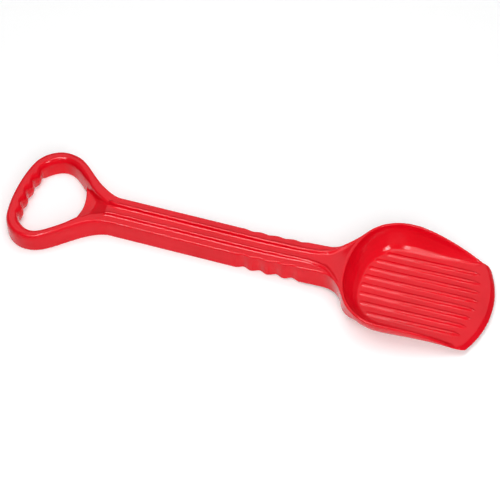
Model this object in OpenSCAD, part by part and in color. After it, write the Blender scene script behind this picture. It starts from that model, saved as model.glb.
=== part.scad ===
// Sand shovel, one red plastic moulding divided where its form divides.
// X runs from the hand loop to the tip of the scoop, Y to the left, Z up, in millimetres.

/* [Hand loop] */
// Farthest reach of the grip behind the origin
loop_back = 272; // [240:0.5:300]
// Width of the grip bar across its oval section
grip_w = 14; // [12:0.5:20]
// Width of the two arms
arm_w = 12; // [10:0.5:18]
// How far the finger bumps stand out of the grip
bump_h = 3.7; // [0:0.1:5]
// Distance from one finger bump to the next
bump_pitch = 17.8; // [14:0.1:19]
// Edge of the web at the hand hole, on the middle line
web_edge = 193; // [185:1:200]
// Height of the web at the hand hole
web_z = 12.5; // [8:0.5:16]

/* [Shaft] */
// Height of the rails
wall_h = 22.5; // [18:0.5:30]
// Half width of the shaft at its bottom
shaft_half = 19.6; // [15:0.1:24]
// Draft of each side wall over its height
wall_draft = 0.8; // [0:0.1:2]
// Half width of the channel between the rails
channel_half = 4.9; // [3:0.1:8]
// Depth of the channel's floor under the tops of the rails
channel_d = 0.8; // [0.4:0.1:2]
// Thickness of the rails, of their walls and of the web
deck_t = 3; // [2:0.1:4]
// Radius on the outer top edges
wall_r = 1.3; // [0.5:0.1:1.7]
// Rise of the shaft from the first finger notch to the neck
shaft_rise = 3; // [0:0.1:6]
// Extra rise of the rail tops over the same length
rim_rise = 1.6; // [0:0.1:4]
// Width of the ridge on each rail, beside the channel
ridge_w = 4.4; // [3:0.1:6]
// Height of that ridge
ridge_h = 3.3; // [1:0.1:5]

/* [Finger notches] */
// Number of notches on each side
notches = 4; // [0:1:5]
// First notch along X
notch_x = 0.2; // [-5:0.1:5]
// Distance from one notch to the next
notch_pitch = 18.4; // [15:0.1:20]
// Depth of a notch at the bottom edge
notch_d = 3.1; // [0:0.1:3.6]

/* [Scoop] */
// Tip of the scoop in front of the origin
tip_x = 272; // [240:1:300]
// Half width of the rim at its widest
scoop_half = 72.6; // [60:0.1:85]
// Height of the rim
rim_z = 30.8; // [24:0.5:40]
// Thickness of the shell
shell_t = 2.8; // [2:0.1:4]
// Radius of the front edge in plan
front_r = 115; // [90:1:200]
// Pitch of the ribs on the scoop's floor
floor_rib_pitch = 12.1; // [10:0.1:14]
// Ribs on each half of the floor
floor_ribs_half = 4; // [2:1:4]

/* [Hidden] */
loop_end_x = -152;
rail_x = -8;
neck_x = 88;
scoop_x = 167;
wall_end_x = 246;
// Exponent of the rounded plan of the scoop's back
plan_n = 2.26;
// Half lengths and half widths of the rim's inside and of the floor
rim_a = 54.6;
rim_b = scoop_half - shell_t;
floor_a = 38.5;
floor_b = 50.5;
// Columns round a quarter of the scoop's back, and the column at which side walls start
back_cols = 16;
side_col = 7;
neck_col = 5;
// Angles of the scoop wall's profile, from the floor to the rim
wall_a = [0, 15, 30, 45, 60, 72, 82, 90];
front_y = [55, 51, 46, 39, 31, 22, 13, 4];
red = [0.85, 0.05, 0.08];

function mix(a, b, t) = a + (b - a) * t;
function clip(t) = min(1, max(0, t));
function ease(t) = clip(t) * clip(t) * (3 - 2 * clip(t));
function bez(p, t) = pow(1 - t, 3) * p[0] + 3 * t * pow(1 - t, 2) * p[1]
    + 3 * t * t * (1 - t) * p[2] + pow(t, 3) * p[3];
function flipped(ring) = [for (p = ring) [p.x, -p.y, p.z]];
// A section is one run of corners and the opposite run, joined top to top
function section(a, b) = concat(a, [for (k = [len(b) - 1 : -1 : 0]) b[k]]);

// Loft through sections, with a strip of faces between the two runs at each end
module skin(rings) {
    n = len(rings[0]);
    last = (len(rings) - 1) * n;
    sides = [for (i = [0 : len(rings) - 2]) for (k = [0 : n - 1])
        let (a = i * n + k, b = i * n + (k + 1) % n)
        each [[a, b + n, b], [a, a + n, b + n]]];
    ends = [for (k = [0 : n / 2 - 2])
        let (q = k + 1, r = n - 2 - k, s = n - 1 - k)
        each [[q, s, k], [q, r, s], [last + k, last + r, last + q], [last + k, last + s, last + r]]];
    polyhedron(points = [for (ring = rings) each ring], faces = concat(sides, ends), convexity = 8);
}

// Hand loop: middle line from the grip's centre (0) over the corner (1 to 2) to the shaft (3)
grip_c = grip_w / 2 - loop_back;
arm_c = (shaft_half + channel_half) / 2;
grip_line = [[grip_c, 0], [grip_c, 12.5], [grip_c + 1.1, 26], [grip_c + 4.2, 37.5]];
corner_line = [[grip_c + 4.2, 37.5], [grip_c + 8.5, 53.4], [-239.6, 65.7], [-221.5, 56.3]];
arm_line = [[-221.5, 56.3], [-201.9, 46], [-180.1, arm_c], [loop_end_x, arm_c]];
function loop_pos(s) = s < 1 ? bez(grip_line, s) : s < 2 ? bez(corner_line, s - 1) : bez(arm_line, s - 2);
function loop_dir(s) = let (d = s < 0.01 ? [0, 1] : s > 2.99 ? [1, 0] : loop_pos(s + 0.005) - loop_pos(s - 0.005))
    d / norm(d);
function loop_w(s) = s < 1 ? grip_w : mix(mix(grip_w, arm_w, ease((s - 1) / 1.2)), shaft_half - channel_half, ease((s - 2.3) / 0.7));
// The arms are boxy; the grip is boxy outside and round on the fingers' side
function loop_n(s, z, inside) = inside
    ? (z < wall_h / 2 && s > 1 ? 6 : mix(2.5, 60, pow(clip((s - 2.3) / 0.6), 3)))
    : z < wall_h / 2 ? 9 : 3.6 + 1.4 * ease((s - 1.8) / 0.4) + 9 * pow(clip((s - 2.5) / 0.5), 2);
// The arms stand a little higher than the grip and the shaft
function loop_h(s) = wall_h + 2.2 * ease((s - 1.8) / 0.4) * ease((2.95 - s) / 0.3);
// Half width of the section at height z, cut flat at the bottom
function oval(s, z, inside) = let (n = loop_n(s, z, inside), h = loop_h(s) / 2)
    loop_w(s) / 2 * pow(1 - pow(abs((z - h + 0.5) / (h + 0.52)), n), 1 / n);
function bump(y, z) = bump_h * (0.5 - 0.5 * cos(360 * y / bump_pitch)) * (1 - 0.55 * pow((z - 11) / 11.5, 2)) - 0.8;
// The arms lean outwards from the hand hole, and the corners are fuller there
function swell(s, z) = 1.6 * (1 - z / wall_h) * ease((s - 1) / 0.4) * ease((2.8 - s) / 0.4) + 1.5 * sin(180 * clip((s - 1) / 1.1));
function loop_in(s, z) = let (p = loop_pos(s), d = loop_dir(s),
    w = oval(s, z, true) + (s < 1 ? bump(p.y, z) : swell(s, z))) [p.x + d.y * w, p.y - d.x * w, z];
function loop_out(s, z) = let (p = loop_pos(s), d = loop_dir(s),
    w = oval(s, z, false) - (s > 2 ? wall_draft * pow(s - 2, 2) * z / wall_h : 0)) [p.x - d.y * w, p.y + d.x * w, z];
// The web climbs from the hand hole to the channel's floor; a loop section has corners where the web meets it
web_from = 36;
function web_h(s) = mix(web_z, wall_h - channel_d, ease((s - 2.6) / 0.33));
function loop_zs(s) = let (h = web_h(s))
    [0, 1.2, 3.5, h - deck_t, for (f = [0, 0.35, 0.62, 0.82, 0.94, 1]) mix(h, loop_h(s), f)];
function loop_ring(s) = section([for (z = loop_zs(s)) loop_out(s, z)], [for (z = loop_zs(s)) loop_in(s, z)]);

module grip_bar() {
    color(red) skin([for (i = [-23 : 23]) i < 0 ? flipped(loop_ring(-i / 23)) : loop_ring(i / 23)]);
}

module left_arm() {
    color(red) skin([for (i = [0 : 30]) loop_ring(1 + i / 15)]);
}

module right_arm() {
    mirror([0, 1, 0]) left_arm();
}

// Web between the arms, with a rounded edge at the hand hole
function web_row(i, z) = let (e = loop_in(i / 15, z), f = pow((45 - i) / (45 - web_from), 2))
    [for (v = [-8 : 8]) [e.x + (-web_edge - loop_in(web_from / 15, z).x) * f * (1 - pow(abs(v / 8), 1.8)),
        e.y * v / 8, z]];
module handle_web() {
    color(red) skin([for (i = [web_from : 45]) let (h = web_h(i / 15)) section(web_row(i, h - deck_t), web_row(i, h))]);
}

// Shaft: the rise starts at X 0 and bends everything on it alike
function bend(x) = pow(max(0, x) / neck_x, 1.5);
function rise(x) = shaft_rise * bend(x);
function top_z(x) = wall_h + (shaft_rise + rim_rise) * bend(x);
// The channel spreads where it opens into the web and into the neck
function channel_y(x) = channel_half + 3.6 * pow(max(0, x - 66) / 22, 2) + 2.1 * pow(max(0, loop_end_x - x) / 12, 2);
function side_y(z) = shaft_half - wall_draft * z / wall_h;
rail_xs = [for (i = [0 : 48]) mix(rail_x, neck_x, i / 48)];

module rail_profile() {
    wall_y = shaft_half - deck_t;
    polygon([[wall_y, 0], [shaft_half, 0], [side_y(wall_h - wall_r), wall_h - wall_r], [side_y(wall_h) - wall_r, wall_h],
        [channel_half, wall_h], [channel_half, wall_h - deck_t], [wall_y, wall_h - deck_t]]);
    translate([side_y(wall_h - wall_r) - wall_r, wall_h - wall_r]) circle(wall_r, $fn = 32);
}

module left_shaft_rail() {
    color(red) translate([loop_end_x, 0, 0]) rotate([90, 0, 90])
        linear_extrude(rail_x - loop_end_x) rail_profile();
}

module right_shaft_rail() {
    mirror([0, 1, 0]) left_shaft_rail();
}

function deck_row(x, depth) = [for (s = [-1, 1]) [x, s * channel_y(x), top_z(x) - depth]];
module shaft_deck() {
    color(red) skin([for (x = concat([loop_end_x], rail_xs)) section(deck_row(x, deck_t), deck_row(x, channel_d))]);
}

// Stiffeners under the shaft
module shaft_cross_webs() {
    wall_y = shaft_half - deck_t;
    color(red) for (x = [-128, -92, -56, -20])
        translate([x - 1.1, -wall_y, 3]) cube([2.2, 2 * wall_y, wall_h - deck_t - 3]);
}

// Finger rails: the same rail with waves in its wall
function notch(x) = x < notch_x - notch_pitch / 2 || x > notch_x + notch_pitch * (notches - 0.5) ? 0
    : pow(0.5 + 0.5 * cos(360 * (x - notch_x) / notch_pitch), 1.2);
function rail_y(x, z) = side_y(z) - notch(x) * notch_d * mix(1, 0.4, z / wall_h);
function rail_out(x) = let (t = top_z(x), y = rail_y(x, wall_h) - wall_r)
    [[x, rail_y(x, 0), rise(x)], [x, rail_y(x, 11), rise(x) + 11],
    for (a = [0, 30, 60, 90]) [x, y + wall_r * cos(a), t - wall_r + wall_r * sin(a)], [x, channel_y(x), t]];
function rail_in(x) = let (z = top_z(x) - deck_t, y = rail_y(x, wall_h) + wall_draft - deck_t)
    [[x, rail_y(x, 0) - deck_t, rise(x)], [x, mix(rail_y(x, 0) - deck_t, y, 0.5), rise(x) + 11], [x, y, z - 1],
    [x, y, z], [x, y - 0.8, z], [x, y - 1.6, z], [x, channel_y(x), z]];
module left_finger_rail() {
    color(red) skin([for (x = rail_xs) section(rail_out(x), rail_in(x))]);
}

module right_finger_rail() {
    mirror([0, 1, 0]) left_finger_rail();
}

// Scoop: height of its floor, and of its rim, which falls towards the front
floor_xs = [scoop_x - floor_a - 1, scoop_x, 187, 207, 227, wall_end_x, 258];
function floor_z(x) = lookup(x, [for (b = floor_xs) [b, 7.5 + 2.3 * ease((b - 135) / 110)]]);
function rim_h(x) = rim_z - 0.00352 * pow(max(0, x - 169), 2);
function soft(x) = (x + sqrt(x * x + 100)) / 2;
// Half widths of the rim's inside and of the floor in front of the widest place
function rim_y(x) = rim_b - 0.168 * (soft(x - 175) - soft(scoop_x - 175));
function floor_y(x) = floor_b + 4.5 * pow((x - scoop_x) / (wall_end_x - scoop_x), 2);
function oval_pt(a, b, i) = let (t = 90 * (2 * i + 1) / (2 * back_cols + 1))
    [scoop_x - a * pow(cos(t), 2 / plan_n), b * pow(sin(t), 2 / plan_n)];
function side_x(i) = mix(scoop_x, wall_end_x, (i - back_cols) / 12);
// Plan point of column i: out 0 at the floor's edge, 1 at the rim, thick added outside
function plan_pt(i, out, thick) = i <= back_cols
    ? oval_pt(mix(floor_a, rim_a + thick, out), mix(floor_b, rim_b + thick, out), i)
    : [side_x(i), mix(floor_y(side_x(i)), rim_y(side_x(i)) + thick, out)];
// The wall's outside is round, its inside straighter
function wall_pt(i, a, thick) = let (e = thick > 0 ? 1 : 1.38, p = plan_pt(i, pow(sin(a), e), thick),
    f = plan_pt(i, 0, 0), r = plan_pt(i, 1, 0))
    [p.x, p.y, mix(floor_z(f.x) - thick, rim_h(r.x), 1 - pow(cos(a), e))];
function wall_ring(i) = section([for (a = wall_a) wall_pt(i, a, shell_t)], [for (a = wall_a) wall_pt(i, a, 0)]);

module scoop_back_wall() {
    color(red) skin([for (i = [-side_col - 1 : side_col]) i < 0 ? flipped(wall_ring(-i - 1)) : wall_ring(i)]);
}

module left_scoop_wall() {
    color(red) skin([for (i = [side_col : back_cols + 12]) wall_ring(i)]);
}

module right_scoop_wall() {
    mirror([0, 1, 0]) left_scoop_wall();
}

// Front edge of the floor, an arc, and the lip in front of it
function arc_x(y) = 126 + sqrt(pow(132, 2) - y * y);
function floor_edge(j) = j == 0 ? [wall_end_x, floor_y(wall_end_x)] : [arc_x(front_y[j]), front_y[j]];
function floor_row(p) = [[p.x, p.y, floor_z(p.x)], [p.x, -p.y, floor_z(p.x)],
    [p.x, -p.y, floor_z(p.x) - shell_t], [p.x, p.y, floor_z(p.x) - shell_t]];
module scoop_floor() {
    color(red) skin([for (i = [0 : back_cols + 12]) floor_row(plan_pt(i, 0, 0)),
        for (j = [1 : 7]) floor_row(floor_edge(j))]);
}

corner = [[wall_end_x, rim_y(wall_end_x) + shell_t], [256.5, 60.3], [258.8, 53.5]];
function lip_out(j) = j < 3
    ? let (t = j / 2.4) pow(1 - t, 2) * corner[0] + 2 * t * (1 - t) * corner[1] + t * t * corner[2]
    : let (y = front_y[j] * 1.09) [tip_x - front_r + sqrt(front_r * front_r - y * y), y];
function lip_side(j, top) = let (p = floor_edge(j), q = lip_out(j), d = ease(j / 2.2), z = floor_z(p.x))
    [for (f = [0, 0.35, 0.62, 0.8, 0.93, 1]) [mix(p.x, q.x, f), mix(p.y, q.y, f), top
        ? z + mix(0.2 * f, -1.1 * f - 3.5 * pow(max(0, f - 0.6) / 0.4, 1.2), d)
        : z - shell_t + mix((shell_t + 0.1) * (1 - sqrt(1 - f * f)), -3.1 * pow(f, 1.2), d)]];
function lip_ring(j) = section(lip_side(j, false), lip_side(j, true));
module front_lip() {
    color(red) skin([for (j = [0 : 7]) lip_ring(j), for (j = [7 : -1 : 0]) flipped(lip_ring(j))]);
}

// Ribs on the floor: each grows towards the front and ends there in a point
function front_end(y) = arc_x(y) - 3;
function back_end(y) = scoop_x + 1 - floor_a * pow(1 - pow(y / floor_b, plan_n), 1 / plan_n);
function floor_rib_h(x, y) = max(0.3, min(1.1 + 0.0145 * (x - 139), 0.3 + 0.25 * (x - back_end(y)),
    0.3 + 0.45 * (front_end(y) - x)));
function floor_rib_side(x, y, s) = let (h = floor_rib_h(x, y), w = 2.6 * clip(0.15 + (front_end(y) - x) / 9))
    [for (c = [[1, 0], [0.75, 0.5], [0.5, 0.9], [0.15, 1]]) [x, y + s * c.x * w, floor_z(x) + h * c.y]];
function rib_stations(y) = let (a = back_end(y), b = front_end(y))
    [a, a + 3, for (x = floor_xs) if (x > a + 4 && x < b - 8) x, b - 7, b - 4, b - 1.5, b];
module floor_rib(y) {
    skin([for (x = rib_stations(y)) section(floor_rib_side(x, y, 1), floor_rib_side(x, y, -1))]);
}

module floor_ribs() {
    color(red) for (i = [0 : floor_ribs_half - 1]) {
        floor_rib(floor_rib_pitch * (i + 0.5));
        mirror([0, 1, 0]) floor_rib(floor_rib_pitch * (i + 0.5));
    }
}

// Neck: the channel opens into a ramp that climbs to the lip of the back wall, between two flared walls
function lip_pt(i, a) = wall_pt(i, a, shell_t);
function flare(u, a) = mix(channel_y(neck_x), lip_pt(neck_col, a).y, pow(u, 1.45));
function ramp_row(u, top) = [for (v = [-neck_col - 1 : neck_col])
    let (i = v < 0 ? -v - 1 : v, a = top ? 90 : 82, p = lip_pt(i, a), z0 = top_z(neck_x) - (top ? channel_d : deck_t))
    [mix(neck_x, p.x, u), (v < 0 ? -1 : 1) * p.y / lip_pt(neck_col, a).y * flare(u, a), mix(z0, p.z, pow(u, 1.6))]];
module neck_ramp() {
    color(red) skin([for (m = [0 : 8]) section(ramp_row(m / 8, false), ramp_row(m / 8, true))]);
}

// Each flared wall is lofted upwards: its outside runs out along the rim, its inside meets the scoop
neck_a = [60, 72, 80, 85, 90];
neck_f = [0, 0.4, 0.75, 0.88, 1];
neck_end = 11;
function neck_top(u) = mix(top_z(neck_x), rim_z, ease(u));
function rim_side(i) = let (p = plan_pt(i, 1, shell_t + 0.3)) [p.x, p.y];
// Bottom edge of the skirt, standing under the rim and closing on the scoop's wall at its end
function skirt(i) = let (p = plan_pt(i, sin(neck_a[0]), shell_t + 0.3))
    mix(rim_side(i), [p.x, p.y], pow(clip((i - 6) / (neck_end - 6)), 1.5));
function neck_out(m, k) = let (u = min(1, m / 9), i = max(6, m - 3),
    low = m > 8 ? skirt(i) : bez([[neck_x, side_y(0)], [105, side_y(0)], [112.5, 27.5], skirt(6)], u),
    top = m > 8 ? rim_side(i) : bez([[neck_x, side_y(wall_h)], [98, side_y(wall_h)], [110, 29.5], rim_side(6)], u),
    p = mix(low, top, neck_f[k]),
    z0 = mix(rise(neck_x), lip_pt(neck_end, neck_a[0]).z, pow(m / (neck_end + 3), 1.9)))
    [p.x, p.y, mix(z0, neck_top(u), neck_f[k])];
// Under the top the inside steps out to a thin wall
function neck_in(m, k) = let (u = m / 8, z0 = mix(rise(neck_x), lip_pt(neck_col, neck_a[0]).z, u * u), t = neck_top(u),
    y = flare(u, 90), wall_y = max(y, mix(shaft_half - 4.4, lip_pt(neck_col, 90).y, pow(u, 2.2))))
    m > 7 ? lip_pt(neck_col + m - 8, neck_a[k])
    : [mix(neck_x, lip_pt(neck_col, 90).x, u), k < 3 ? wall_y : y,
        [z0, mix(z0, t, 0.4), t - mix(deck_t, t - lip_pt(neck_col, 80).z, u), t - mix(deck_t, t - lip_pt(neck_col, 85).z, u), t][k]];
module left_neck_wall() {
    color(red) skin([for (k = [0 : 4])
        section([for (m = [0 : neck_end + 3]) neck_in(m, k)], [for (m = [0 : neck_end + 3]) neck_out(m, k)])]);
}

module right_neck_wall() {
    mirror([0, 1, 0]) left_neck_wall();
}

// Ridge on each rail: it starts round on the arm, follows the channel and sinks into the neck's wall
ridge_from = -164;
ridge_xs = [ridge_from, ridge_from + 0.5, ridge_from + 1.4, ridge_from + 2.6, -157, loop_end_x,
    for (i = [0 : 2 : 46]) rail_xs[i]];
function ridge_fade(x) = sqrt(1 - pow(1 - clip(0.05 + (x - ridge_from) / 2.8), 2));
// Corners of a ridge between its two feet
function ridge_ring(a, b, h) = let (run = function (s)
    [for (c = [[1, 0], [0.82, 0.55], [0.45, 0.92], [0.08, 1]]) (a + b) / 2 + s * c.x * (b - a) / 2 + [0, 0, c.y * h]])
    section(run(1), run(-1));
function shaft_ridge(x) = let (f = ridge_fade(x), y = channel_y(x) + ridge_w / 2, z = top_z(x))
    ridge_ring([x, y - f * ridge_w / 2, z], [x, y + f * ridge_w / 2, z], f * (ridge_h - 1.5 * bend(x)));
function neck_ridge(m) = let (a = neck_in(m, 4), d = neck_out(m, 4) - a)
    ridge_ring(a, a + [d.x, d.y, 0] / norm([d.x, d.y]) * min(ridge_w, 0.9 * norm(d)), (ridge_h - 1.5) * (1 - m / 8));
module left_ridge() {
    color(red) skin([for (x = ridge_xs) shaft_ridge(x), for (m = [0 : 7]) neck_ridge(m)]);
}

module right_ridge() {
    mirror([0, 1, 0]) left_ridge();
}

grip_bar();
left_arm();
right_arm();
handle_web();
left_shaft_rail();
right_shaft_rail();
shaft_deck();
left_ridge();
right_ridge();
shaft_cross_webs();
left_finger_rail();
right_finger_rail();
neck_ramp();
left_neck_wall();
right_neck_wall();
scoop_back_wall();
left_scoop_wall();
right_scoop_wall();
scoop_floor();
floor_ribs();
front_lip();
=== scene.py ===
import math
import bpy
from mathutils import Vector, Matrix
from mathutils.bvhtree import BVHTree


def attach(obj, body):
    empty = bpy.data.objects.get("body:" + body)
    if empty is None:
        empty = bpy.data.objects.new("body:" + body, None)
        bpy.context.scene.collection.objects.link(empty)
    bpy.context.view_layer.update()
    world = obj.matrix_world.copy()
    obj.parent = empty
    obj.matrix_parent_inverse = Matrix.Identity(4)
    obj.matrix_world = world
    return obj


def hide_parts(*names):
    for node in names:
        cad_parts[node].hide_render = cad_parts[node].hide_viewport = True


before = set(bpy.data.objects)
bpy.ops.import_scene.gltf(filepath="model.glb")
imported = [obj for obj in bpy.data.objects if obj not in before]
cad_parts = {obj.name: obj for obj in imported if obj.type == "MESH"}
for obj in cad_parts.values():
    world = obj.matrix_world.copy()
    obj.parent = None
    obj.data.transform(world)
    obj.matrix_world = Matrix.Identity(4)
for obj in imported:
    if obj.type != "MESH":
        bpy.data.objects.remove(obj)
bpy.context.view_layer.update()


def pickOnly(*objs):
    bpy.ops.object.select_all(action="DESELECT")
    for o in objs:
        o.select_set(True)
    bpy.context.view_layer.objects.active = objs[0]


def finishWith(obj, kind, **settings):
    pickOnly(obj)
    bpy.ops.object.modifier_add(type=kind)
    mod = obj.modifiers[-1]
    for key, value in settings.items():
        setattr(mod, key, value)
    bpy.ops.object.modifier_apply(modifier=mod.name)


def camelName(nodeName):
    words = nodeName.split("_")
    return words[0] + "".join(w.capitalize() for w in words[1:])


class Wire:
    # a socket that Python's operators work on
    def __init__(self, tree, socket):
        self.tree = tree
        self.socket = socket

    def maths(self, operation, a, b):
        made = makeNode(self.tree, "ShaderNodeMath", {"operation": operation}, in0=a, in1=b)
        return Wire(self.tree, made.outputs[0])

    def __add__(self, other):
        return self.maths("ADD", self, other)

    def __radd__(self, other):
        return self.maths("ADD", other, self)

    def __sub__(self, other):
        return self.maths("SUBTRACT", self, other)

    def __rsub__(self, other):
        return self.maths("SUBTRACT", other, self)

    def __mul__(self, other):
        return self.maths("MULTIPLY", self, other)

    def __rmul__(self, other):
        return self.maths("MULTIPLY", other, self)


def makeNode(tree, kind, settings=None, **inputs):
    made = tree.nodes.new(kind)
    for key, value in (settings or {}).items():
        if key == "stops":
            ramp = made.color_ramp
            while len(ramp.elements) < len(value):
                ramp.elements.new(0.5)
            for element, (place, shade) in zip(ramp.elements, value):
                element.position = place
                element.color = shade
        else:
            setattr(made, key, value)
    for key, value in inputs.items():
        place = int(key[2:]) if key[:2] == "in" and key[2:].isdigit() else key.replace("_", " ")
        socket = made.inputs[place]
        if isinstance(value, Wire):
            tree.links.new(value.socket, socket)
        else:
            socket.default_value = value
    return made


def makeNoise(tree, coords, scale, detail, roughness):
    made = makeNode(tree, "ShaderNodeTexNoise", Vector=coords, Scale=scale, Detail=detail, Roughness=roughness)
    return Wire(tree, made.outputs["Fac"])


def newMaterial(name):
    mat = bpy.data.materials.new(name)
    mat.use_nodes = True
    tree = mat.node_tree
    shader = next(n for n in tree.nodes if n.type == "BSDF_PRINCIPLED")
    return mat, tree, shader


def opaque(colour):
    return tuple(colour) + (1.0,)


redPlastic = {
    "tones": [(0.3, (0.73, 0.0015, 0.01)), (0.5, (0.77, 0.002, 0.012)), (0.7, (0.8, 0.004, 0.015))],
    "gloss": 0.13,
    "haze": 0.09,           # added where it is scuffed
    "flowHaze": 0.05,
    "specular": 0.21,
    "refraction": 1.5,
    "flow": (26.0, 3.0, 0.5),    # scale, detail and roughness of each noise
    "grain": (900.0, 2.0, 0.5),
    "scuff": (70.0, 6.0, 0.7),
    "wornStops": [(0.55, (0.0, 0.0, 0.0)), (0.8, (1.0, 1.0, 1.0))],
    "bumpStrength": 0.06,
    "bumpDepth": 0.0002,
    "flowBump": 1.5,
}


def makeRedPlastic():
    look = redPlastic
    mat, tree, shader = newMaterial("redMouldedPlastic")
    coords = Wire(tree, makeNode(tree, "ShaderNodeTexCoord").outputs["Object"])
    flow, grain, scuff = (makeNoise(tree, coords, *look[k]) for k in ("flow", "grain", "scuff"))
    # colour swims a little where the melt has flowed
    tones, wornStops = ([(place, opaque(tone)) for place, tone in look[k]] for k in ("tones", "wornStops"))
    shade = makeNode(tree, "ShaderNodeValToRGB", {"stops": tones}, Fac=flow)
    tree.links.new(shade.outputs["Color"], shader.inputs["Base Color"])
    worn = makeNode(tree, "ShaderNodeValToRGB", {"stops": wornStops}, Fac=scuff)
    worn = Wire(tree, worn.outputs["Color"])
    rough = look["gloss"] + look["haze"] * worn + look["flowHaze"] * (flow - 0.5)
    tree.links.new(rough.socket, shader.inputs["Roughness"])
    bump = makeNode(tree, "ShaderNodeBump", Strength=look["bumpStrength"], Distance=look["bumpDepth"],
                    Height=grain + look["flowBump"] * flow)
    tree.links.new(bump.outputs["Normal"], shader.inputs["Normal"])
    shader.inputs["Specular IOR Level"].default_value = look["specular"]
    shader.inputs["IOR"].default_value = look["refraction"]
    return mat


# the shovel is one moulding: the sub-parts are cast together, then parted again along their own borders
moulding = {
    "weld": 0.00001,
    "grain": 0.0008,       # size of the cast mesh's faces
    "softenRounds": 3,     # how far the mould rounds off edges and corners
    "softenPull": 0.5,
    "wall": 0.0006,        # skin thickness of a parted piece
    "topRounds": 10,       # more rounding on the handle, above this height and up to the neck
    "topFrom": 0.0105,
    "topEnd": 0.105,
    "topFade": 0.02,
    "notchFrom": -0.012,   # the finger notches stay crisper
    "notchSide": 0.0125,
    "notchShare": 0.3,
    "webRounds": 45,       # the web's slope up to the shaft has no crease
    "webFrom": -0.189,
    "webTo": -0.164,
    "webSide": 0.022,
    "webFade": 0.005,
    "skirt": 0.0014,       # body given to the neck's thin lower edge
}

plastic = makeRedPlastic()
pickOnly(*[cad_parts[n] for n in sorted(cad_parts)])
bpy.ops.object.duplicate()
copies = sorted(bpy.context.selected_objects, key=lambda o: o.name)
names = [o.name.split(".")[0] for o in copies]
owners = []  # which sub-part each face of the joined copy came from
vertsAll, facesAll = [], []
for i, o in enumerate(copies):
    o.parent = None
    o.matrix_world = Matrix.Identity(4)
    for key in list(o.keys()):
        del o[key]
    o.data = o.data.copy()
    o.data.materials.clear()
    start = len(vertsAll)
    vertsAll += [v.co.copy() for v in o.data.vertices]
    facesAll += [tuple(start + k for k in p.vertices) for p in o.data.polygons]
    owners += [i] * len(o.data.polygons)
nearest = BVHTree.FromPolygons(vertsAll, facesAll)

# the skirt under the neck runs out to a knife edge, so a copy set inwards gives it body
thick = []
for side, shift in (("left_neck_wall", -moulding["skirt"]), ("right_neck_wall", moulding["skirt"])):
    pickOnly(copies[names.index(side)])
    bpy.ops.object.duplicate()
    bpy.ops.transform.translate(value=(0, shift, 0))
    bpy.ops.object.transform_apply()
    thick.append(bpy.context.view_layer.objects.active)

pickOnly(*copies, *thick)
bpy.ops.object.join()
cast = bpy.context.view_layer.objects.active
cast.name = "castShovel"
bpy.ops.object.mode_set(mode="EDIT")
bpy.ops.mesh.select_all(action="SELECT")
bpy.ops.mesh.remove_doubles(threshold=moulding["weld"])
bpy.ops.object.mode_set(mode="OBJECT")
cast.data.remesh_voxel_size = moulding["grain"]
cast.data.remesh_voxel_adaptivity = 0.0
cast.data.use_remesh_fix_poles = False
cast.data.use_remesh_preserve_volume = False
bpy.ops.object.voxel_remesh()
print("cast mesh:", len(cast.data.polygons), "faces")


def softenCast(rounds, group=""):
    finishWith(cast, "SMOOTH", factor=moulding["softenPull"], iterations=rounds, vertex_group=group)


softenCast(moulding["softenRounds"])
topEdges = cast.vertex_groups.new(name="topEdges")
webSlope = cast.vertex_groups.new(name="webSlope")
for v in cast.data.vertices:
    if v.co.z > moulding["topFrom"] and v.co.x < moulding["topEnd"]:
        notched = v.co.x > moulding["notchFrom"] and abs(v.co.y) > moulding["notchSide"]
        weight = min(1.0, (moulding["topEnd"] - v.co.x) / moulding["topFade"])
        topEdges.add([v.index], moulding["notchShare"] * weight if notched else weight, "REPLACE")
        fade = min(v.co.x - moulding["webFrom"], moulding["webTo"] - v.co.x) / moulding["webFade"]
        if fade > 0 and abs(v.co.y) < moulding["webSide"]:
            webSlope.add([v.index], min(1.0, fade), "REPLACE")
softenCast(moulding["topRounds"], "topEdges")
softenCast(moulding["webRounds"], "webSlope")
pickOnly(cast)
bpy.ops.object.shade_smooth()
print("softened:", [round(x, 4) for x in cast.dimensions])

# each face goes to the sub-part that it lies nearest to
cast.data.materials.clear()
for n in names:
    cast.data.materials.append(bpy.data.materials.new("part_" + n))
for p in cast.data.polygons:
    p.material_index = owners[nearest.find_nearest(p.center)[2]]
pickOnly(cast)
bpy.ops.object.duplicate()
bpy.ops.object.mode_set(mode="EDIT")
bpy.ops.mesh.separate(type="MATERIAL")
bpy.ops.object.mode_set(mode="OBJECT")
pieces = list(bpy.context.selected_objects)
for o in pieces:
    used = o.data.materials[o.data.polygons[0].material_index].name
    nodeName = used.replace("part_", "")
    o.data.materials.clear()
    o.data.materials.append(plastic)
    for p in o.data.polygons:
        p.material_index = 0
    o.name = camelName(nodeName)
    o["standsFor"] = nodeName
for o in pieces:
    finishWith(o, "SOLIDIFY", thickness=moulding["wall"], offset=-1.0, use_rim=True)
    finishWith(o, "DATA_TRANSFER", object=cast, use_loop_data=True, data_types_loops={"CUSTOM_NORMAL"},
               loop_mapping="POLYINTERP_NEAREST")
    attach(o, "root")
    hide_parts(o["standsFor"])
    print("piece", o.name, len(o.data.polygons))
bpy.data.objects.remove(cast)

studioFloor = {
    "size": 8.0,
    "drop": 0.0002,
    "colour": (0.86, 0.86, 0.86),
    "roughness": 0.6,
    "specular": 0.1,
    "lift": 0.25,          # shows in the picture and in reflections, and lights nothing
}

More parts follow.
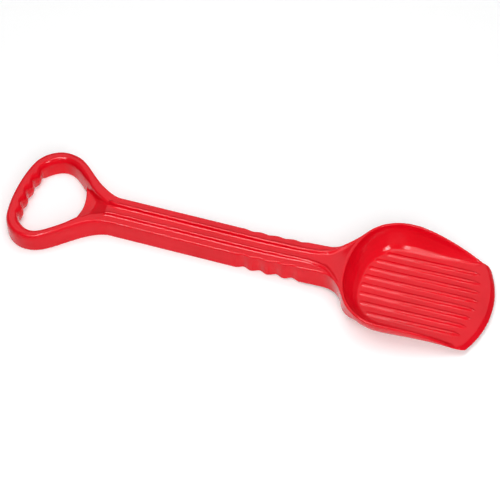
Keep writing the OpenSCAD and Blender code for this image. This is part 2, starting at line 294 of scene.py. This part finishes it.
bpy.ops.object.select_all(action="DESELECT")
bpy.ops.mesh.primitive_plane_add(size=studioFloor["size"], location=(0, 0, -studioFloor["drop"]))
floor = bpy.context.object
floor.name = "studioFloor"
mat, tree, shader = newMaterial("paleFloor")
shader.inputs["Base Color"].default_value = opaque(studioFloor["colour"])
shader.inputs["Roughness"].default_value = studioFloor["roughness"]
shader.inputs["Specular IOR Level"].default_value = studioFloor["specular"]
path = makeNode(tree, "ShaderNodeLightPath")
rays = [Wire(tree, path.outputs["Is " + k + " Ray"]) for k in ("Camera", "Glossy", "Transmission")]
tree.links.new((rays[0] + rays[1] + rays[2]).socket, shader.inputs["Emission Color"])
shader.inputs["Emission Strength"].default_value = studioFloor["lift"]
floor.data.materials.append(mat)
print("floor laid")

worldLight = {"colour": (1, 1, 1), "strength": 0.24}

world = bpy.data.worlds.new("studioWorld")
bpy.context.scene.world = world
world.use_nodes = True
sky = next(n for n in world.node_tree.nodes if n.type == "BACKGROUND")
sky.inputs["Color"].default_value = opaque(worldLight["colour"])
sky.inputs["Strength"].default_value = worldLight["strength"]

view = {
    "lens": 137.1,
    "sensor": 36.0,
    "elevation": 50.27,
    "azimuth": 20.04,
    "roll": -1.77,
    "distance": 2.079,
    "aim": (-0.0007, 0.0084, 0.0),
    "clipEnd": 50.0,
}

el, az, roll = (math.radians(view[k]) for k in ("elevation", "azimuth", "roll"))
right = Vector((math.cos(az), math.sin(az), 0))
ahead = Vector((-math.sin(az), math.cos(az), 0))


def seenFromCamera(forward, sideways, height):
    return forward * ahead + sideways * right + Vector((0, 0, height))


def addLamp(name, place, size, power, aim=(0, 0, 0)):
    bpy.ops.object.light_add(type="AREA", location=place)
    lamp = bpy.context.object
    lamp.name = name
    lamp.data.shape = "RECTANGLE"
    lamp.data.size, lamp.data.size_y = size
    lamp.data.energy = power
    lamp.rotation_euler = (Vector(aim) - Vector(place)).to_track_quat("-Z", "Y").to_euler()
    return lamp


# two wide lamps give the even light; the other boxes only show as reflections in the gloss
evenLamps = [
    {"name": "keyBox", "place": seenFromCamera(-1.6, 0.3, 1.14), "size": (1.4, 1.2), "power": 21.0},
    {"name": "overheadBox", "place": (-0.2, 0.1, 1.6), "size": (1.8, 0.8), "power": 15.0},
]
glossBoxes = [
    {"name": "shaftBox", "place": (-0.445, -0.45, 1.5), "aim": (-0.445, -0.45, 0), "size": (0.42, 1.0),
     "power": 23.0},
    {"name": "ribBox", "place": (-0.1, -0.45, 1.5), "aim": (-0.1, -0.45, 0), "size": (0.27, 1.0), "power": 3.2},
    {"name": "scoopBox", "place": (0.15, 0.0, 1.6), "aim": (0.15, 0, 0), "size": (0.9, 0.5), "power": 6.0},
    {"name": "sheenBox", "place": seenFromCamera(1.14, 0.0, 1.52), "size": (2.8, 1.3), "power": 15.5},
    {"name": "spotBoxLeft", "place": seenFromCamera(-0.76, 0.87, 1.62), "size": (0.3, 0.3), "power": 9.0},
    {"name": "spotBoxRight", "place": seenFromCamera(-0.76, -0.25, 1.62), "size": (0.2, 0.2), "power": 3.2},
]
for box in evenLamps:
    addLamp(**box).visible_glossy = False
for box in glossBoxes:
    addLamp(**box).visible_diffuse = False
print("lamps hung:", len(evenLamps) + len(glossBoxes))

look = ahead * math.cos(el) - Vector((0, 0, math.sin(el)))
up = ahead * math.sin(el) + Vector((0, 0, math.cos(el)))
camRight = right * math.cos(roll) + up * math.sin(roll)
camUp = up * math.cos(roll) - right * math.sin(roll)
bpy.ops.object.camera_add(location=Vector(view["aim"]) - look * view["distance"])
camera = bpy.context.object
camera.rotation_euler = Matrix((camRight, camUp, -look)).transposed().to_euler()
camera.data.lens = view["lens"]
camera.data.sensor_width = view["sensor"]
camera.data.clip_end = view["clipEnd"]
scene = bpy.context.scene
scene.camera = camera
scene.view_settings.view_transform = "Standard"
